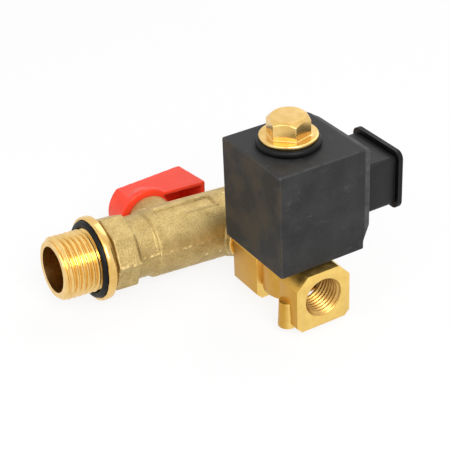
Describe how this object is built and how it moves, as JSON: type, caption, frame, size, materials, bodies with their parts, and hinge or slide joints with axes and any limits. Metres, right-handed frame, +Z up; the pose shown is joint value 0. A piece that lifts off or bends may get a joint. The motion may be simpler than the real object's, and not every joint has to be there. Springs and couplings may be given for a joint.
{
  "type": "automatic drain valve",
  "caption": "Drain valve: threaded ball valve with lever and built-in strainer, joined to a direct-acting solenoid valve with a coil and connector shroud.",
  "frame": {"origin": "centre of the outlet port's mouth", "axes": "-Y points out of the outlet port, +Z up along the coil axis, +X along the ball valve from its inlet thread to the strainer plug"},
  "size_m": [0.0999, 0.0861, 0.0677],
  "materials": {
    "forged_brass": "as-forged, sand-textured, satin",
    "machined_brass": "machined and bright",
    "solenoid_brass": "fine satin",
    "coil_plastic": "matte moulded epoxy, dusty and scuffed",
    "shroud_plastic": "smooth moulded plastic",
    "black_rubber": "smooth rubber",
    "red_plastic": "moulded, half gloss",
    "chrome_plate": "polished plate",
    "stainless": "turned",
    "seat_plastic": "white fluoroplastic",
    "copper": "bright copper",
    "tinned_steel": "tinned"
  },
  "bodies": {
    "base": {"solenoid_body": "solenoid_brass", "armature_tube": "stainless", "tube_o_ring": "black_rubber", "plunger_spring": "stainless", "fixed_core": "stainless", "shading_ring": "copper", "coil_gasket": "black_rubber", "coil": "coil_plastic", "connector_shroud": "shroud_plastic", "connector_gasket": "black_rubber", "contact_blades": "tinned_steel", "earth_blade": "tinned_steel", "cap_seal": "black_rubber", "cap_nut": "machined_brass", "valve_body": "forged_brass", "inlet_o_ring": "black_rubber", "inlet_ball_seat": "seat_plastic", "outlet_ball_seat": "seat_plastic", "seat_retainer": "machined_brass", "strainer_screen": "stainless", "strainer_plug": "machined_brass", "plug_gasket": "black_rubber", "joining_nipple": "machined_brass"},
    "lever": {"handle": "red_plastic", "handle_screw": "stainless", "stem": "machined_brass", "stem_o_rings": "black_rubber", "ball": "chrome_plate"},
    "plunger": {"plunger": "stainless", "plunger_seal": "black_rubber"}
  },
  "joints": [
    {"name": "handle_turn", "type": "hinge", "parent": "base", "child": "lever", "pos_m": [-0.02245, 0.0759, 0.00154], "axis": [0, 1, 0], "range_deg": [-90, 0]},
    {"name": "plunger_lift", "type": "slide", "parent": "base", "child": "plunger", "axis": [0, 0, 1], "range_m": [0, 0.0018], "stiffness_N_per_m": 150, "springref_m": -0.004, "deforming": ["plunger_spring"]}
  ]
}
